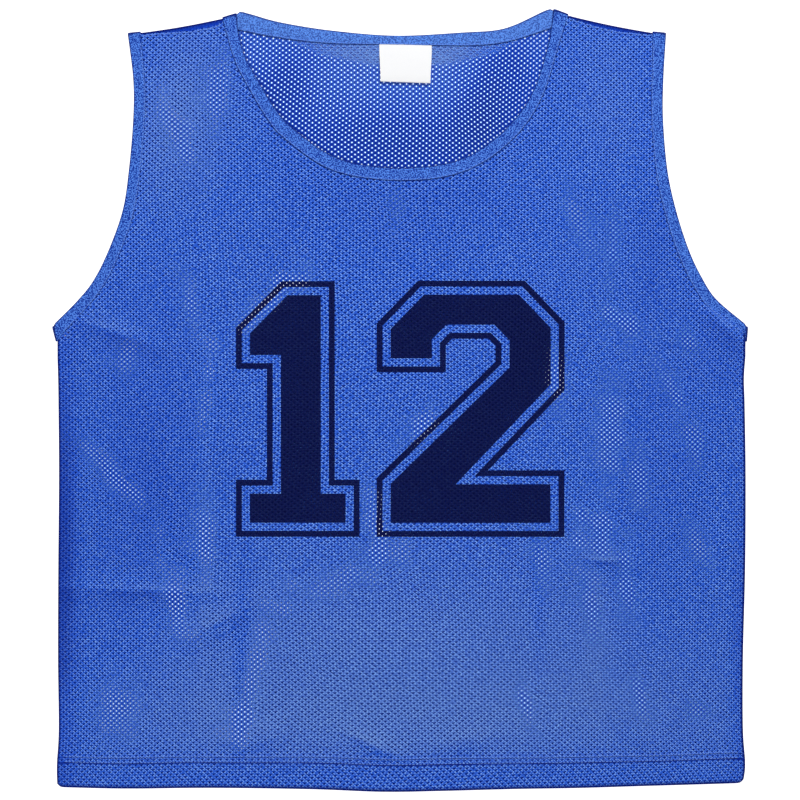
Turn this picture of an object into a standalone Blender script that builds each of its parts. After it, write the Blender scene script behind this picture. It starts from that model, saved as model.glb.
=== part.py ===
"""Mesh training bib: a sleeveless sports vest of blue mesh cloth, laid flat on its back.

It lies face up. X runs across it, Y runs up it from the hem to the neck, and Z points away from the
surface that it lies on. The origin is on that surface, at the middle of the outline's bounding box.
The front panel lies on the back panel. The neck and both armholes are bound with folded strips,
which turn over at the shoulder from the front layer to the back layer.
"""

import math

import bpy

MM = 0.001

# Driving sizes in millimetres
WALL = 1.0  # one layer of cloth
HEM_WALL = 1.6  # the hem, where the cloth is turned up inside
HEM_DEPTH = 21.0  # height of the turned hem
HEM_STEP = 2.5  # width of the step at the top of the hem
BINDING_WALL = 1.4  # the folded binding strip
ARMHOLE_BINDING = 9.5  # width of the strip round each armhole
SEAM_GAP = 0.3  # between pieces that are sewn together
EDGE_ROUND = 0.4  # how far a panel's rim rounds over
LABEL_WIDTH = 42.5
LABEL_HEIGHT = 29.5
LABEL_WALL = 1.0
LABEL_TOP = (4.5, 284.5)  # the middle of its top edge
LABEL_TURN = math.radians(-2.0)

# Heights of the layers
BACK_MIDDLE = BINDING_WALL / 2
FRONT_MIDDLE = BINDING_WALL * 1.5 + SEAM_GAP
FRONT_BASE = WALL + SEAM_GAP
FRONT_LIFT = HEM_WALL - WALL  # the front panel rides this much higher at hem and bindings
LIFT_REACH = 28.0  # distance over which it comes down again

# How finely the shapes are divided
SIDE_ROWS = 9
ARMHOLE_SECTIONS = 16
FRONT_NECK_SECTIONS = 29
BACK_NECK_SECTIONS = 19
SHOULDER_COLUMNS = 5
FOLD_STEPS = 4

# Side seams: height, left x and right x
SIDE_SEAMS = [
    (-313.0, -276.5, 277.5),
    (-292.0, -277.5, 280.0),
    (-180.0, -277.0, 278.5),
    (-90.0, -276.0, 279.5),
    (0.0, -277.0, 279.5),
    (36.0, -277.5, 280.0),
]

# Outer edge of each armhole binding, from the armpit to the shoulder: height, left x and right x
ARMHOLES = [
    (59.5, -282.0, 282.0),
    (80.5, -261.0, 257.0),
    (97.0, -248.0, 245.5),
    (121.0, -236.0, 234.0),
    (153.5, -224.5, 223.5),
    (186.0, -219.5, 216.5),
    (226.5, -216.0, 213.0),
    (259.0, -216.5, 213.0),
    (297.5, -220.5, 215.5),
]
ARMPIT_SEAM_END = (50.0, -277.5, 279.5)
SHOULDER_SEAM_END = (298.5, -210.0, 204.5)

# How far a shoulder seam bows up above a straight line
SHOULDER_BOW = 1.6

# Front neck: x and y of the binding's opening edge, then x and y of its seam edge
FRONT_NECK = [
    (-132.5, 313.5, -144.0, 310.0),
    (-131.0, 299.5, -140.5, 296.0),
    (-126.5, 281.5, -135.0, 277.5),
    (-119.5, 267.0, -128.0, 262.0),
    (-99.5, 234.0, -107.5, 227.0),
    (-84.5, 218.5, -92.0, 210.0),
    (-53.0, 197.0, -58.0, 187.0),
    (-14.5, 188.5, -16.0, 178.0),
    (29.5, 190.0, 32.0, 179.5),
    (61.0, 200.5, 66.5, 191.5),
    (89.5, 223.5, 97.0, 216.5),
    (108.5, 251.5, 116.0, 247.0),
    (120.0, 288.5, 128.5, 286.5),
    (124.5, 317.0, 136.5, 312.5),
]

# Back neck, in the same columns
BACK_NECK = [
    (-132.5, 313.5, -144.0, 310.0),
    (-129.0, 314.5, -137.5, 301.5),
    (-121.0, 312.5, -127.0, 298.5),
    (-97.0, 305.0, -98.5, 293.0),
    (-56.0, 298.5, -57.0, 288.5),
    (-3.0, 294.5, -3.0, 286.5),
    (53.0, 297.0, 54.0, 286.5),
    (77.5, 299.5, 80.0, 288.5),
    (93.5, 304.0, 97.5, 292.5),
    (114.5, 314.0, 123.5, 301.0),
    (121.0, 316.5, 131.5, 304.0),
    (124.5, 317.0, 136.5, 312.5),
]

# Hem edge between the side seams: share of the width, and drop below the straight line
HEM_DROPS = [(0.0, 0.0), (0.12, 1.0), (0.3, 1.4), (0.5, 3.2), (0.66, 2.2), (0.86, 0.6), (1.0, -1.8)]

# Soft folds in the front panel: centre x and y, angle in degrees, half length, half width, height
FOLDS = [
    (-206.0, -155.0, -2.0, 60.0, 9.0, 1.3),
    (-146.0, -180.0, 27.0, 32.0, 11.0, 1.4),
    (165.0, -130.0, -2.0, 20.0, 9.0, 0.9),
    (-228.0, 54.0, -18.0, 34.0, 10.0, 1.8),
    (266.0, 56.0, -42.0, 26.0, 9.0, 1.6),
    (-182.0, 212.0, 78.0, 62.0, 22.0, 1.6),
    (168.0, 205.0, 96.0, 66.0, 24.0, 1.5),
    (-18.0, -281.0, -22.0, 26.0, 9.0, 1.3),
    (52.0, -277.0, 14.0, 24.0, 9.0, 1.0),
    (-118.0, -274.0, 8.0, 30.0, 10.0, 0.8),
    (190.0, -262.0, -64.0, 30.0, 13.0, 1.0),
    (-236.0, -236.0, 58.0, 34.0, 16.0, 1.0),
    (226.0, -70.0, 82.0, 60.0, 16.0, 1.1),
    (-196.0, -34.0, -74.0, 56.0, 16.0, 1.2),
    (0.0, -205.0, 4.0, 110.0, 30.0, 1.2),
    (96.0, 60.0, 38.0, 70.0, 24.0, 0.8),
]

CLOTH_BLUE = (0.045, 0.125, 0.60, 1.0)
BINDING_BLUE = (0.040, 0.110, 0.55, 1.0)
LABEL_WHITE = (0.90, 0.90, 0.90, 1.0)
CLOTH_ROUGHNESS = 0.65
LABEL_ROUGHNESS = 0.55

# Corner points of a binding strip's section: share of the width, share of the half thickness
STRIP_SECTION = [
    (0.05, -1.0),
    (0.95, -1.0),
    (1.0, -0.4),
    (1.0, 0.4),
    (0.95, 1.0),
    (0.05, 1.0),
    (0.0, 0.45),
    (0.0, -0.45),
]


def blend(a, b, share):
    """The value or point at this share of the way from a to b."""
    if isinstance(a, tuple):
        return tuple(blend(p, q, share) for p, q in zip(a, b, strict=True))
    return a + (b - a) * share


def smooth_step(t):
    """0 below 0, 1 above 1 and a smooth rise between."""
    t = min(max(t, 0.0), 1.0)
    return t * t * (3.0 - 2.0 * t)


def smooth_rows(rows, count, steps=12):
    """Rows at even distances along a smooth curve through the given rows.

    The distance is measured on a row's first two columns, and the other columns follow.
    """
    first = blend(rows[0], rows[1], -1.0)
    last = blend(rows[-1], rows[-2], -1.0)
    knots = [first, *rows, last]
    fine = []
    for a, b, c, d in zip(knots, knots[1:], knots[2:], knots[3:]):
        for k in range(steps):
            t = k / steps
            fine.append(
                tuple(
                    0.5 * (2 * q + (r - p) * t + (2 * p - 5 * q + 4 * r - s) * t**2
                           + (3 * q - p - 3 * r + s) * t**3)
                    for p, q, r, s in zip(a, b, c, d)
                )
            )
    fine.append(rows[-1])
    reached = [0.0]
    for a, b in zip(fine, fine[1:]):
        reached.append(reached[-1] + math.dist(a[:2], b[:2]))
    found = []
    at = 0
    for k in range(count):
        goal = reached[-1] * k / (count - 1)
        while at < len(fine) - 2 and reached[at + 1] < goal:
            at += 1
        found.append(blend(fine[at], fine[at + 1], (goal - reached[at]) / (reached[at + 1] - reached[at])))
    return found


def unit(vector):
    size = math.hypot(*vector)
    return tuple(v / size for v in vector)


def inward_offsets(points, distance, side):
    """Points moved sideways from a curve by the distance; side is 1 to its right and -1 to its left."""
    moved = []
    for k, (x, y) in enumerate(points):
        before = points[max(k - 1, 0)]
        after = points[min(k + 1, len(points) - 1)]
        dx, dy = unit((after[0] - before[0], after[1] - before[1]))
        moved.append((x + side * dy * distance, y - side * dx * distance))
    return moved


def side_seam(column):
    """Points up a side seam from the hem, with a close pair where the hem's wall ends."""
    curve = smooth_rows([(row[column], row[0]) for row in SIDE_SEAMS], 200)
    bottom, top = SIDE_SEAMS[0][0], SIDE_SEAMS[-1][0]
    step_low = bottom + HEM_DEPTH - HEM_STEP / 2
    step_high = step_low + HEM_STEP
    heights = [bottom, step_low]
    heights += [blend(step_high, top, k / SIDE_ROWS) for k in range(SIDE_ROWS + 1)]
    return [(min(curve, key=lambda row: abs(row[1] - height))[0], height) for height in heights]


def armhole_rows(column, side):
    """Section rows of an armhole binding, armpit to shoulder: edge x, y and seam x, y."""
    edge = smooth_rows([(row[column], row[0]) for row in ARMHOLES], ARMHOLE_SECTIONS)
    seam = inward_offsets(edge, ARMHOLE_BINDING, side)
    seam[0] = (ARMPIT_SEAM_END[column], ARMPIT_SEAM_END[0])
    seam[-1] = (SHOULDER_SEAM_END[column], SHOULDER_SEAM_END[0])
    return [(*e, *s) for e, s in zip(edge, seam, strict=True)]


def beyond_seam(rows):
    """The line where a panel meets these binding rows: the seam edge, moved on by the seam gap."""
    line = []
    for edge_x, edge_y, seam_x, seam_y in rows:
        dx, dy = unit((seam_x - edge_x, seam_y - edge_y))
        line.append((seam_x + dx * SEAM_GAP, seam_y + dy * SEAM_GAP))
    return line


def shoulder_line(start, end):
    """Points along a shoulder seam, which bows up a little."""
    line = []
    for k in range(SHOULDER_COLUMNS + 1):
        share = k / SHOULDER_COLUMNS
        x, y = blend(start, end, share)
        line.append((x, y + SHOULDER_BOW * math.sin(math.pi * share)))
    return line


def hem_line(left, right, columns):
    """Points along the hem's lower edge, at even steps of x."""
    drops = smooth_rows(HEM_DROPS, 8 * columns + 1)
    line = []
    for k in range(columns + 1):
        share = k / columns
        drop = min(drops, key=lambda row: abs(row[0] - share))[1]
        x, y = blend(left, right, share)
        line.append((x, y - drop))
    return line


def patch(bottom, top, left, right):
    """A grid of points inside four edges, each row running from left to right (a Coons patch)."""
    columns = len(bottom) - 1
    height = top[0][1] - bottom[0][1]
    grid = []
    for start, end in zip(left, right, strict=True):
        v = (start[1] - bottom[0][1]) / height
        row = []
        for k, (low, high) in enumerate(zip(bottom, top, strict=True)):
            s = k / columns
            ruled = blend(low, high, v)
            across = blend(start, end, s)
            corners = blend(blend(bottom[0], bottom[-1], s), blend(top[0], top[-1], s), v)
            row.append(tuple(r + a - c for r, a, c in zip(ruled, across, corners)))
        grid.append(row)
    grid[-1] = list(top)
    return grid


def material(name, colour, roughness):
    """A plain cloth finish."""
    finish = bpy.data.materials.new(name)
    finish.use_nodes = True
    shader = finish.node_tree.nodes["Principled BSDF"]
    shader.inputs["Base Color"].default_value = colour
    shader.inputs["Roughness"].default_value = roughness
    shader.inputs["Metallic"].default_value = 0.0
    return finish


def volume_sign(points, faces):
    """Positive if the faces point outwards."""
    total = 0.0
    for face in faces:
        ax, ay, az = points[face[0]]
        for b, c in zip(face[1:], face[2:]):
            bx, by, bz = points[b]
            cx, cy, cz = points[c]
            total += ax * (by * cz - bz * cy) + ay * (bz * cx - bx * cz) + az * (bx * cy - by * cx)
    return total


def solid(name, points, faces, finish):
    """A named object from points in millimetres, with its faces turned outwards."""
    if volume_sign(points, faces) < 0:
        faces = [tuple(reversed(face)) for face in faces]
    mesh = bpy.data.meshes.new(name)
    mesh.from_pydata([tuple(c * MM for c in p) for p in points], [], faces)
    mesh.validate()
    mesh.materials.append(finish)
    mesh.shade_smooth()
    mesh.set_sharp_from_angle(angle=math.radians(50.0))
    obj = bpy.data.objects.new(name, mesh)
    bpy.context.scene.collection.objects.link(obj)
    return obj


def loft(name, sections, closed, finish):
    """A solid through sections of equal point counts, in a ring if closed, else with flat ends."""
    size = len(sections[0])
    points = [p for section in sections for p in section]
    spans = len(sections) if closed else len(sections) - 1
    faces = []
    for k in range(spans):
        here = k * size
        there = (k + 1) % len(sections) * size
        for n in range(size):
            m = (n + 1) % size
            faces.append((here + n, here + m, there + m, there + n))
    if not closed:
        faces.append(tuple(reversed(range(size))))
        faces.append(tuple(range(len(points) - size, len(points))))
    return solid(name, points, faces, finish)


def strip_section(row, height, up):
    """One section of a binding strip, from its opening edge to its seam edge; up is its outer side."""
    edge_x, edge_y, seam_x, seam_y = row
    half = BINDING_WALL / 2
    section = []
    for across, over in STRIP_SECTION:
        x, y = blend((edge_x, edge_y), (seam_x, seam_y), across)
        section.append(
            (x + up[0] * over * half, y + up[1] * over * half, height + up[2] * over * half)
        )
    return section


def fold_over(row, outward, falling):
    """Sections that turn a strip over the shoulder line: front to back if falling, else back to front."""
    middle = (FRONT_MIDDLE + BACK_MIDDLE) / 2
    radius = (FRONT_MIDDLE - BACK_MIDDLE) / 2
    sections = []
    for k in range(FOLD_STEPS + 1):
        angle = math.pi * k / FOLD_STEPS
        if not falling:
            angle = math.pi - angle
        reach = radius * math.sin(angle)
        moved = tuple(c + outward[i % 2] * reach for i, c in enumerate(row))
        up = (outward[0] * math.sin(angle), outward[1] * math.sin(angle), math.cos(angle))
        sections.append(strip_section(moved, middle + radius * math.cos(angle), up))
    return sections


def across_shoulder(row):
    """The direction in the plane that is square to the strip's section and points up the garment."""
    dx, dy = unit((row[2] - row[0], row[3] - row[1]))
    return (-dy, dx) if dx > 0 else (dy, -dx)


def tucked(rows, ends):
    """Rows with the named end rows moved in, so that the fold there reaches only to the outline."""
    reach = (FRONT_MIDDLE - BACK_MIDDLE) / 2 + BINDING_WALL / 2
    rows = list(rows)
    for k in ends:
        outward = across_shoulder(rows[k])
        rows[k] = tuple(c - outward[i % 2] * reach for i, c in enumerate(rows[k]))
    return rows


def armhole_binding(name, rows, finish):
    """The strip round one armhole: up the front, over the shoulder and down the back."""
    front = [strip_section(row, FRONT_MIDDLE, (0, 0, 1)) for row in rows[:-1]]
    back = [strip_section(row, BACK_MIDDLE, (0, 0, -1)) for row in reversed(rows[:-1])]
    fold = fold_over(rows[-1], across_shoulder(rows[-1]), falling=True)
    return loft(name, front + fold + back, False, finish)


def neck_binding(name, front_rows, back_rows, finish):
    """The strip round the neck: a ring that turns over at both shoulders."""
    front = [strip_section(row, FRONT_MIDDLE, (0, 0, 1)) for row in front_rows[1:-1]]
    back = [strip_section(row, BACK_MIDDLE, (0, 0, -1)) for row in reversed(back_rows[1:-1])]
    right = fold_over(front_rows[-1], across_shoulder(front_rows[-1]), falling=True)
    left = fold_over(front_rows[0], across_shoulder(front_rows[0]), falling=False)
    return loft(name, front + right + back + left, True, finish)


def nearest(point, line):
    """Distance from a point to a line of points."""
    best = math.inf
    for a, b in zip(line, line[1:]):
        run = (b[0] - a[0], b[1] - a[1])
        along = (point[0] - a[0]) * run[0] + (point[1] - a[1]) * run[1]
        share = min(max(along / (run[0] ** 2 + run[1] ** 2), 0.0), 1.0)
        best = min(best, math.dist(point, blend(a, b, share)))
    return best


def fold_height(x, y):
    """Height of the soft folds at a point."""
    height = 0.0
    for centre_x, centre_y, angle, half_length, half_width, rise in FOLDS:
        c, s = math.cos(math.radians(angle)), math.sin(math.radians(angle))
        along = ((x - centre_x) * c + (y - centre_y) * s) / half_length
        across = ((y - centre_y) * c - (x - centre_x) * s) / half_width
        height += rise * math.exp(-(along**2) - across**2)
    return height


def cloth_wall(point, hem):
    """Thickness of a panel: one layer, and more in the turned hem."""
    above = nearest(point, hem) - HEM_DEPTH
    return blend(HEM_WALL, WALL, smooth_step(above / HEM_STEP + 0.5))


def panel(name, grid, hem, raised_lines, finish):
    """A panel's wall from its grid of points; with raised_lines it is the front, riding over the back."""
    rows, columns = len(grid), len(grid[0])
    low, high = [], []
    for row in grid:
        for x, y in row:
            base = 0.0
            if raised_lines:
                near = min(nearest((x, y), line) for line in raised_lines)
                lift = FRONT_LIFT * (1.0 - smooth_step(near / LIFT_REACH))
                in_hem = 1.0 - smooth_step((nearest((x, y), hem) - HEM_DEPTH) / LIFT_REACH)
                base = FRONT_BASE + max(lift, FRONT_LIFT * in_hem) + fold_height(x, y)
            low.append((x, y, base))
            high.append((x, y, base + cloth_wall((x, y), hem)))

    def border(k):
        """The k-th border point's grid index, counted round the panel from its lower left corner."""
        if k < columns - 1:
            return k
        k -= columns - 1
        if k < rows - 1:
            return k * columns + columns - 1
        k -= rows - 1
        if k < columns - 1:
            return rows * columns - 1 - k
        k -= columns - 1
        return (rows - 1 - k) * columns

    around = [border(k) for k in range(2 * (rows + columns) - 4)]
    middle = [tuple((a + b) / 2 for a, b in zip(low[n], high[n])) for n in around]
    for k, n in enumerate(around):
        before = middle[k - 1]
        after = middle[(k + 1) % len(around)]
        dx, dy = unit((after[0] - before[0], after[1] - before[1]))
        for layer in (low, high):
            x, y, z = layer[n]
            layer[n] = (x - dy * EDGE_ROUND, y + dx * EDGE_ROUND, z)
    points = low + high + middle
    count = rows * columns
    faces = []
    for r in range(rows - 1):
        for c in range(columns - 1):
            n = r * columns + c
            faces.append((n, n + columns, n + columns + 1, n + 1))
            faces.append((count + n, count + n + 1, count + n + columns + 1, count + n + columns))
    for k, n in enumerate(around):
        m = around[(k + 1) % len(around)]
        here = 2 * count + k
        there = 2 * count + (k + 1) % len(around)
        faces.append((n, m, there, here))
        faces.append((here, there, count + m, count + n))
    return solid(name, points, faces, finish)


def neck_label(name, finish):
    """The label, hanging from the back neck seam and lying on the back panel."""
    top_x, top_y = LABEL_TOP
    c, s = math.cos(LABEL_TURN), math.sin(LABEL_TURN)
    low = WALL + SEAM_GAP
    high = low + LABEL_WALL
    half = LABEL_WIDTH / 2
    sections = []
    for down in (0.0, LABEL_HEIGHT / 2, LABEL_HEIGHT):
        section = []
        for x, z in ((-half, low), (half, low), (half, high), (-half, high)):
            section.append((top_x + x * c + down * s, top_y + x * s - down * c, z))
        sections.append(section)
    return loft(name, sections, False, finish)


def build():
    for obj in list(bpy.data.objects):
        bpy.data.objects.remove(obj)

    cloth = material("cloth_mesh", CLOTH_BLUE, CLOTH_ROUGHNESS)
    binding = material("binding_mesh", BINDING_BLUE, CLOTH_ROUGHNESS)
    satin = material("label_satin", LABEL_WHITE, LABEL_ROUGHNESS)

    left_rows = tucked(armhole_rows(1, 1), [-1])
    right_rows = tucked(armhole_rows(2, -1), [-1])
    front_rows = tucked(smooth_rows(FRONT_NECK, FRONT_NECK_SECTIONS), [0, -1])
    back_rows = tucked(smooth_rows(BACK_NECK, BACK_NECK_SECTIONS), [0, -1])

    left_armhole = beyond_seam(left_rows)
    right_armhole = beyond_seam(right_rows)
    left = side_seam(1) + left_armhole
    right = side_seam(2) + right_armhole

    for name, neck_rows in (("back_panel", back_rows), ("front_panel", front_rows)):
        neck = beyond_seam(neck_rows)
        left_shoulder = shoulder_line(left_armhole[-1], neck[0])
        right_shoulder = shoulder_line(neck[-1], right_armhole[-1])
        top = left_shoulder[:-1] + neck + right_shoulder[1:]
        hem = hem_line(left[0], right[0], len(top) - 1)
        raised = [left_armhole, right_armhole, neck] if name == "front_panel" else []
        panel(name, patch(hem, top, left, right), hem, raised, cloth)

    neck_binding("neck_binding", front_rows, back_rows, binding)
    armhole_binding("armhole_binding_left", left_rows, binding)
    armhole_binding("armhole_binding_right", right_rows, binding)
    neck_label("neck_label", satin)


build()
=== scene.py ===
"""Looks of a mesh training bib: a sleeveless blue sports vest, laid flat and face up.

Sizes are in millimetres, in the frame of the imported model: X across, Y from the hem to the neck and
Z away from the surface. Each section makes one piece, in the order in which the bib is sewn.
"""

import math

import bpy
import numpy as np
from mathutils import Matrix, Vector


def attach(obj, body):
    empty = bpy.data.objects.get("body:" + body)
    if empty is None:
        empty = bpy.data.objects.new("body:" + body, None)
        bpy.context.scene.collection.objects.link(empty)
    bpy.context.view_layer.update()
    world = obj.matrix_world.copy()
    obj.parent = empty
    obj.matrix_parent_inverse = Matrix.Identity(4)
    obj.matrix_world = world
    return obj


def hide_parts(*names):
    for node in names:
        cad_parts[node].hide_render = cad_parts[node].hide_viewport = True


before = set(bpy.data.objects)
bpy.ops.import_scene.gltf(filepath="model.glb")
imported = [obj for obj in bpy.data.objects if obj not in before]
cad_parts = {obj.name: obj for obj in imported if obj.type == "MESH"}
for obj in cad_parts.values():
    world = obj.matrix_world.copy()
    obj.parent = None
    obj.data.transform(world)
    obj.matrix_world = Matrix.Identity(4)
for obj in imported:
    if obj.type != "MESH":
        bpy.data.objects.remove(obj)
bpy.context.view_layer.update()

# Back panel
# The back of the bib is one piece of blue polyester micro mesh, a warp knit whose small holes stand
# in staggered columns. It is cut to the outline and lies on the surface with its outer side down.

MM = 0.001
COLUMNS = 228  # columns of holes from side seam to side seam
ROWS = 163  # rows of holes, from the hem's fold to past the shoulders
ROW_PITCH = 3.95
COLUMN_PITCH = 2.44
HOLE_WIDTH = 0.93
HOLE_HEIGHT = 1.7
BACK_HEIGHT = 0.6  # height of the back cloth's middle
BACK_RIPPLE = 0.06
RAW_EDGE = 0.45  # where the panel's cut edge ends inside a binding, from its open edge to its seam
BINDING_WALL = 1.4  # thickness of a folded binding
ARMHOLE_BINDING = 9.5  # width of an armhole's folded binding
BACK_MIDDLE = 0.7  # height of the bindings' middle along the back
FRONT_MIDDLE = 2.4  # height of the bindings' middle along the front
SHOULDER_TUCK = 1.55  # room for a binding to turn over at a shoulder or an armpit
CUT_TUCK = 1.2  # how far a panel's cut edge stops short of those turns
SHOULDER_BOW = -0.8  # how far a shoulder seam bows up in the middle, or down where negative
CUT_BOW = -1.5  # the same for a panel's cut edge under that seam
CUT_FOOT = (300, -330)  # corner of the outline past a side and the hem: half width and height
CUT_SIDE_TOP = 53  # height at which the outline leaves the sides for the armholes
SMALLEST_FACE = 0.02  # square millimetres

CLOTH_BLUE = (0.021, 0.103, 0.640, 1.0)
# painted highlight on the knit's raised loops
CLOTH_HIGHLIGHT = (0.220, 0.440, 1.000, 1.0)
# painted shade: cloth seen behind the holes and in the hem's grooves, lying in shade
CLOTH_SHADE = (0.0003, 0.010, 0.240, 1.0)
# painted light on the yarn at an open hole's edge
CLOTH_RIM_LIGHT = (0.180, 0.470, 1.000, 1.0)  # yarn lit from below at the edge of an open hole
# paler colour for painted light, and for knit whose holes are pressed shut
CLOTH_PALE = (0.230, 0.380, 0.620, 1.0)
# stronger colour for painted shade, also used round see-through holes where the knits meet
CLOTH_STRONG = (0.003, 0.040, 0.480, 1.0)
# painted shade at folded edges and seam lines, and in the deepest tones
EDGE_SHADE_NAVY = (0.001, 0.006, 0.140, 1.0)

# Side seams: height, left x and right x
SIDE_SEAMS = [
    (-313.0, -277.0, 277.0),
    (-295.0, -277.3, 279.0),
    (-266.0, -275.8, 277.2),
    (-208.0, -276.4, 277.2),
    (-135.0, -276.2, 279.0),
    (-62.0, -275.6, 279.4),
    (-4.0, -276.0, 278.6),
    (18.0, -276.3, 278.0),
    (36.0, -276.8, 279.2),
]

# Hem fold between the side seams: share of the width, and drop below the straight line
HEM_DROPS = [
    (0.0, 0.1),
    (0.1, 1.3),
    (0.22, 0.7),
    (0.37, 1.8),
    (0.475, 3.9),
    (0.56, 3.2),
    (0.66, 1.7),
    (0.76, 0.8),
    (0.85, -0.7),
    (0.93, -2.0),
    (1.0, -3.2),
]

# Open edge of each armhole binding, from the armpit to the shoulder: height, left x and right x
ARMHOLES = [
    (59.5, -282.0, 282.0),
    (80.5, -261.0, 257.0),
    (97.0, -248.0, 245.5),
    (121.0, -236.0, 234.0),
    (153.5, -224.5, 223.5),
    (186.0, -219.5, 216.5),
    (226.5, -216.0, 213.0),
    (259.0, -215.9, 213.2),
    (297.5, -220.5, 215.5),
]
CORNER_ROUND = 2.2  # how far the hem's corners draw up
CORNER_REACH = (1.3, 4.0)  # how far in and how far up that is felt
HEM_DROP_REACH = 150  # how far up the hem's waves are felt
COLUMN_DRIFT = (0.016, 0.006)  # how far the columns stand off an even spacing, in shares of the width
KNIT_SWAY = (1.8, 0.8)  # how far the columns wave sideways, slowly and quickly
KNIT_RISE = (2.2, 0.7)  # how far the rows wave up and down, slowly and quickly
KNIT_RISE_REACH = 80  # how far above the hem's fold those waves grow

# Seam end of each armhole binding at the armpit and at the shoulder: height, left x and right x
ARMPIT_SEAM_END = (47.2, -278.8, 281.0)
SHOULDER_SEAM_END = (298.5, -210.0, 204.5)

# Painted light and shade, where the back looks paler or stronger: centre x and y, angle, half length, half
# width, strength
BACK_LIGHT_AND_SHADE = [
    (0, 272, 0, 66, 22, 0.9),
    (-100, 247, 55, 52, 26, -1.9),
    (72, 240, 80, 46, 24, -2.1),
    (105, 262, -60, 50, 24, -0.9),
    (-10, 205, 0, 100, 34, -2.2),
]

# How far below the back neck seam the knit is pressed shut: x, and depth
PRESSED_SHUT = [
    (-95.0, -3.0),
    (-84.0, 2.0),
    (-65.0, 9.0),
    (-22.0, 16.0),
    (36.0, 15.0),
    (80.0, 6.0),
    (104.0, -3.0),
]
SHUT_SIZE = 0.27  # share of its full size that a hole keeps there
BACK_SIZE = 0.88  # share that it keeps elsewhere on the back
SHUT_OVER = 4  # height over which one size passes into the other
SHUT_PALER = 2.1  # how much paler the cloth looks as its holes shut

# Back neck: x and y of the binding's open edge, then x and y of its seam edge
BACK_NECK = [
    (-132.5, 313.5, -144.0, 310.0),
    (-129.0, 314.5, -137.5, 301.5),
    (-121.0, 312.5, -127.0, 298.5),
    (-97.0, 305.9, -98.5, 293.0),
    (-56.0, 299.3, -57.0, 288.5),
    (-3.0, 295.1, -3.0, 287.6),
    (53.0, 297.8, 54.0, 286.6),
    (77.5, 299.5, 80.0, 288.5),
    (93.5, 304.0, 97.5, 292.5),
    (114.5, 314.0, 123.5, 301.0),
    (121.0, 316.5, 131.5, 304.0),
    (124.5, 317.0, 136.5, 312.5),
]


def smooth_rows(rows, count):
    """Rows at even distances along a smooth curve through the given rows, by their first two columns."""
    rows = np.array(rows, float)
    knots = np.vstack([2 * rows[0] - rows[1], rows, 2 * rows[-1] - rows[-2]])
    t = np.linspace(0, 1, 24, endpoint=False)[:, None]
    spans = []
    for a, b, c, d in zip(knots, knots[1:], knots[2:], knots[3:]):
        bend = (2 * a - 5 * b + 4 * c - d) * t**2 + (3 * b - a - 3 * c + d) * t**3
        spans.append(0.5 * (2 * b + (c - a) * t + bend))
    fine = np.vstack([*spans, rows[-1:]])
    reached = np.concatenate([[0], np.cumsum(np.hypot(*np.diff(fine[:, :2], axis=0).T))])
    goals = np.linspace(0, reached[-1], count)
    return np.stack([np.interp(goals, reached, column) for column in fine.T], axis=1)


def outward(rows, end):
    """The direction in which a strip leaves its end row, square to that row."""
    other = 1 if end == 0 else end - 1
    across = rows[end, 2:] - rows[end, :2]
    square = np.array([-across[1], across[0]]) / np.hypot(*across)
    away = rows[end, :2] + rows[end, 2:] - rows[other, :2] - rows[other, 2:]
    return square * (1 if square @ away > 0 else -1)


def tucked(rows, reach=SHOULDER_TUCK):
    """Rows whose two ends are moved in, which leaves room for the strip to turn over there."""
    rows = rows.copy()
    for end in (0, -1):
        rows[end] -= np.tile(outward(rows, end), 2) * reach
    return rows


def armhole_rows(column, side, count=60):
    """Rows of an armhole binding, from the armpit to the shoulder: open edge x, y and seam x, y."""
    edge = smooth_rows([(row[column], row[0]) for row in ARMHOLES], count)
    run = np.gradient(edge, axis=0)
    run /= np.hypot(*run.T)[:, None]
    seam = edge + side * ARMHOLE_BINDING * np.stack([run[:, 1], -run[:, 0]], axis=1)
    first = np.array([ARMPIT_SEAM_END[column], ARMPIT_SEAM_END[0]])
    last = np.array([SHOULDER_SEAM_END[column], SHOULDER_SEAM_END[0]])
    share = np.linspace(0, 1, count)[:, None]
    in_first_eighth = np.clip(1 - share * 8, 0, 1)
    in_last_eighth = np.clip(share * 8 - 7, 0, 1)
    seam += (first - seam[0]) * in_first_eighth
    seam += (last - seam[-1]) * in_last_eighth
    return tucked(np.hstack([edge, seam]))


def shoulder_line(start, end, bow, count):
    """Points from one end of a shoulder to the other, bowed up in the middle or down when negative."""
    along = np.linspace(0, 1, count)
    line = start + (end - start) * along[:, None]
    line[:, 1] += bow * np.sin(np.pi * along)
    return line


def panel_outline(neck_rows):
    """A panel's cut edge. At the sides and hem it runs past the fold, where the knit itself ends."""
    cuts = []
    for rows in (armhole_left, neck_rows, armhole_right[::-1]):
        rows = tucked(rows, CUT_TUCK)
        cuts.append(rows[:, :2] + (rows[:, 2:] - rows[:, :2]) * RAW_EDGE)
    shoulder_left = shoulder_line(cuts[0][-1], cuts[1][0], CUT_BOW, 9)
    shoulder_right = shoulder_line(cuts[1][-1], cuts[2][0], CUT_BOW, 9)
    past_side, past_hem = CUT_FOOT
    left_foot = [(-past_side, past_hem), (-past_side, CUT_SIDE_TOP)]
    right_foot = [(past_side, CUT_SIDE_TOP), (past_side, past_hem)]
    return np.vstack([left_foot, cuts[0], shoulder_left, cuts[1], shoulder_right, cuts[2], right_foot])


def inside(x, y, outline):
    """True for the points inside an outline."""
    found = np.zeros(x.shape, bool)
    for (ax, ay), (bx, by) in zip(outline, np.roll(outline, -1, axis=0)):
        if ay != by:
            crosses = (ay > y) != (by > y)
            found ^= crosses & (x < ax + (y - ay) * (bx - ax) / (by - ay))
    return found


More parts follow.
